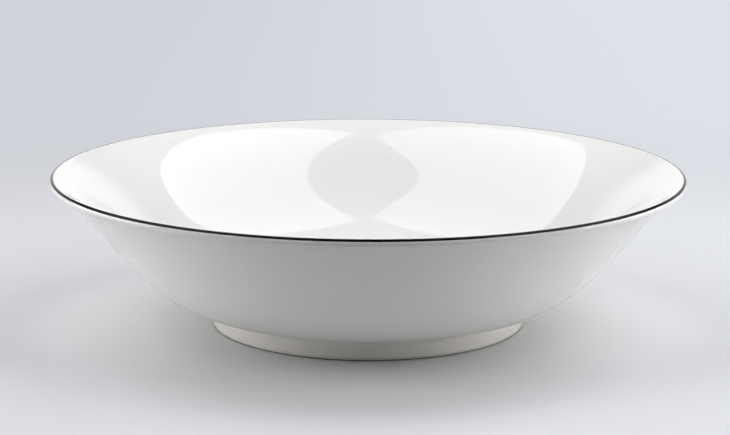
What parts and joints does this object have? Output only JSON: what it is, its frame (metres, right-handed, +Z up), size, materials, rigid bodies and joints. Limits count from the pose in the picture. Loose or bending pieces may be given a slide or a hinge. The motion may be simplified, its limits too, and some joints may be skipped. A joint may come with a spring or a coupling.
{
  "type": "serving bowl",
  "caption": "Round shallow serving bowl with an open, slightly flared wall, a fine dark line round its lip and a glazed foot ring to stand on.",
  "frame": {"origin": "on the table, under the middle of the foot ring", "axes": "+Z up along the bowl's axis of revolution; the bowl is round, so X and Y are any two level directions"},
  "size_m": [0.28, 0.28, 0.0681],
  "materials": {
    "biscuit": "vitrified white porcelain, bare and finely matt where it shows on the tip of the foot",
    "glaze": "clear glossy glaze over white porcelain",
    "enamel": "glossy black overglaze enamel"
  },
  "bodies": {
    "root": {"porcelain_body": "biscuit", "foot_ring": "biscuit", "inside_glaze": "glaze", "outside_glaze": "glaze", "underside_glaze": "glaze", "rim_line": "enamel"}
  },
  "joints": []
}
